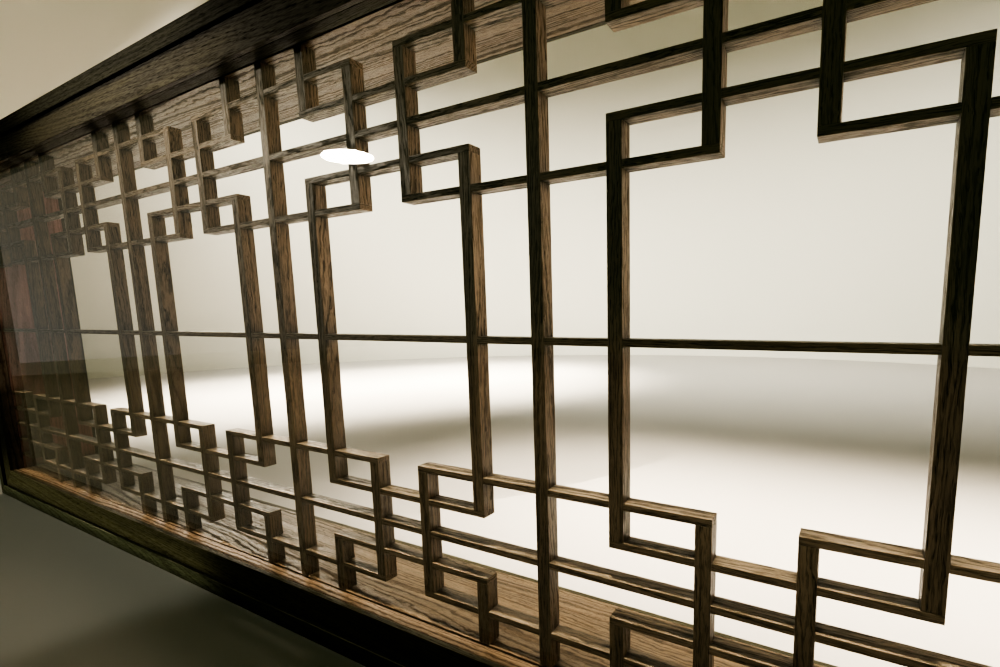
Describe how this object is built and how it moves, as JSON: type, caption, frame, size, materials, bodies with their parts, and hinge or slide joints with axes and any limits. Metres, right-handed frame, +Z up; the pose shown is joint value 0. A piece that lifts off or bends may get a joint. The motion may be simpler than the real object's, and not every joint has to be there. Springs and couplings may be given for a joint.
{
  "type": "hanok lattice window",
  "caption": "Fixed hanok lattice window: stepped fretwork of dark oak bars behind a glass sheet, in a deep oak-lined surround with stepped casings.",
  "frame": {"origin": "middle of the window's length and depth, at the level of its lowest edge", "axes": "+X along the window, +Y from the glazed face through the wall into the room behind, +Z up"},
  "size_m": [5.0864, 0.3766, 1.736],
  "materials": {
    "lattice_oak": "dark-stained open-pore oak, satin",
    "board_oak": "brown-stained open-pore oak with cathedral grain, satin",
    "casing_oak": "dark brown stained oak, satin",
    "glass": "clear, polished"
  },
  "bodies": {
    "root": {"lattice": "lattice_oak", "sill_board": "board_oak", "head_board": "board_oak", "jamb_board_left": "board_oak", "jamb_board_right": "board_oak", "glass_pane": "glass", "glass_bead_top": "board_oak", "glass_bead_bottom": "board_oak", "glass_bead_left": "board_oak", "glass_bead_right": "board_oak", "front_casing_top": "casing_oak", "front_casing_bottom": "casing_oak", "front_casing_left": "casing_oak", "front_casing_right": "casing_oak", "front_strip_top": "casing_oak", "front_strip_bottom": "casing_oak", "front_strip_left": "casing_oak", "front_strip_right": "casing_oak", "room_casing_top": "casing_oak", "room_casing_bottom": "casing_oak", "room_casing_left": "casing_oak", "room_casing_right": "casing_oak", "room_strip_top": "casing_oak", "room_strip_bottom": "casing_oak", "room_strip_left": "casing_oak", "room_strip_right": "casing_oak"}
  },
  "joints": []
}
